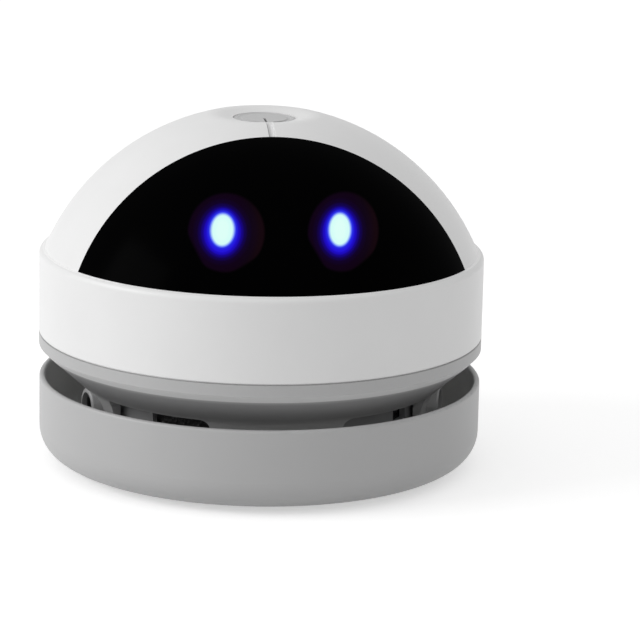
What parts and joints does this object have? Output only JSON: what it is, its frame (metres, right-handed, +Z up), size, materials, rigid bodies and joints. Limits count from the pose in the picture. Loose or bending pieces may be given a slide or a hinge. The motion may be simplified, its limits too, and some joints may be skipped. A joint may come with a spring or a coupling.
{
  "type": "desk vacuum cleaner",
  "caption": "Palm-sized domed desk vacuum with a black visor and lit eyes, crown power button, twist-off bowl base, fan motor, filters and bottom suction port.",
  "frame": {"origin": "on the table, on the vertical axis, at the centre of the glide pads", "axes": "+Z up through the crown button, -Y the face with the two eyes, +Y the charging inlet at the back"},
  "size_m": [0.088, 0.088, 0.0695],
  "materials": {
    "white_gloss": "smooth satin-gloss white ABS",
    "grey_satin": "light grey ABS, fine satin",
    "black_gloss": "smoked black acrylic, polished",
    "button_grey": "grey ABS, satin",
    "eye_light": "clear light pipe, lit",
    "fan_grey": "moulded nylon",
    "cage_grey": "moulded ABS, satin grey",
    "foam_black": "open-cell foam",
    "mesh_white": "fine nylon mesh",
    "bristle_black": "nylon bristle",
    "pad_white": "acetal glide pad",
    "seal_rubber": "silicone seal",
    "steel": "bright steel",
    "screw_zinc": "zinc-plated steel",
    "can_steel": "plated drawn steel",
    "core_steel": "laminated steel",
    "ferrite": "ferrite magnet",
    "brass": "brass",
    "bronze": "sintered bronze",
    "board_green": "glass-fibre board with solder mask",
    "chip_black": "moulded packages",
    "cell_wrap": "shrink sleeve on a steel can",
    "motor_cap_white": "nylon"
  },
  "bodies": {
    "base": {"base_bowl": "grey_satin", "glide_pads": "pad_white", "brush_ring": "grey_satin", "bristle_tufts": "bristle_black", "tray_seal": "seal_rubber"},
    "head": {"neck_housing": "grey_satin", "port_grommets": "seal_rubber", "inlet_plate": "cage_grey", "filter_mesh": "mesh_white", "filter_frame": "cage_grey", "exhaust_cage": "cage_grey", "exhaust_foam": "foam_black", "motor_deck": "white_gloss", "motor_can": "can_steel", "motor_magnets": "ferrite", "motor_cap": "motor_cap_white", "motor_terminals": "brass", "lower_bush": "bronze", "upper_bush": "bronze", "motor_screws": "screw_zinc", "band_shell": "white_gloss", "case_screws": "screw_zinc", "dome_shell": "white_gloss", "visor_lens": "black_gloss", "push_switch": "chip_black", "main_board": "board_green", "board_parts": "chip_black", "board_screws": "screw_zinc", "led_board": "board_green", "eye_lamps": "eye_light", "eye_pipe_left": "eye_light", "eye_pipe_right": "eye_light", "led_bracket": "white_gloss", "battery_cell": "cell_wrap", "usb_board": "board_green", "usb_socket": "steel"},
    "button": {"power_button": "button_grey", "switch_plunger": "bristle_black", "button_spring": "steel"},
    "rotor": {"motor_shaft": "steel", "armature": "core_steel", "fan": "fan_grey"}
  },
  "joints": [
    {"name": "head_twist", "type": "hinge", "parent": "base", "child": "head", "pos_m": [0, 0, 0.006], "axis": [0, 0, 1], "range_deg": [0, 25]},
    {"name": "button_press", "type": "slide", "parent": "head", "child": "button", "axis": [0, 0, -1], "range_m": [0, 0.0012], "stiffness_N_per_m": 900, "springref_m": -0.0012, "deforming": ["button_spring"]},
    {"name": "fan_spin", "type": "hinge", "parent": "head", "child": "rotor", "pos_m": [0, 0, 0.017], "axis": [0, 0, 1], "continuous": true}
  ]
}
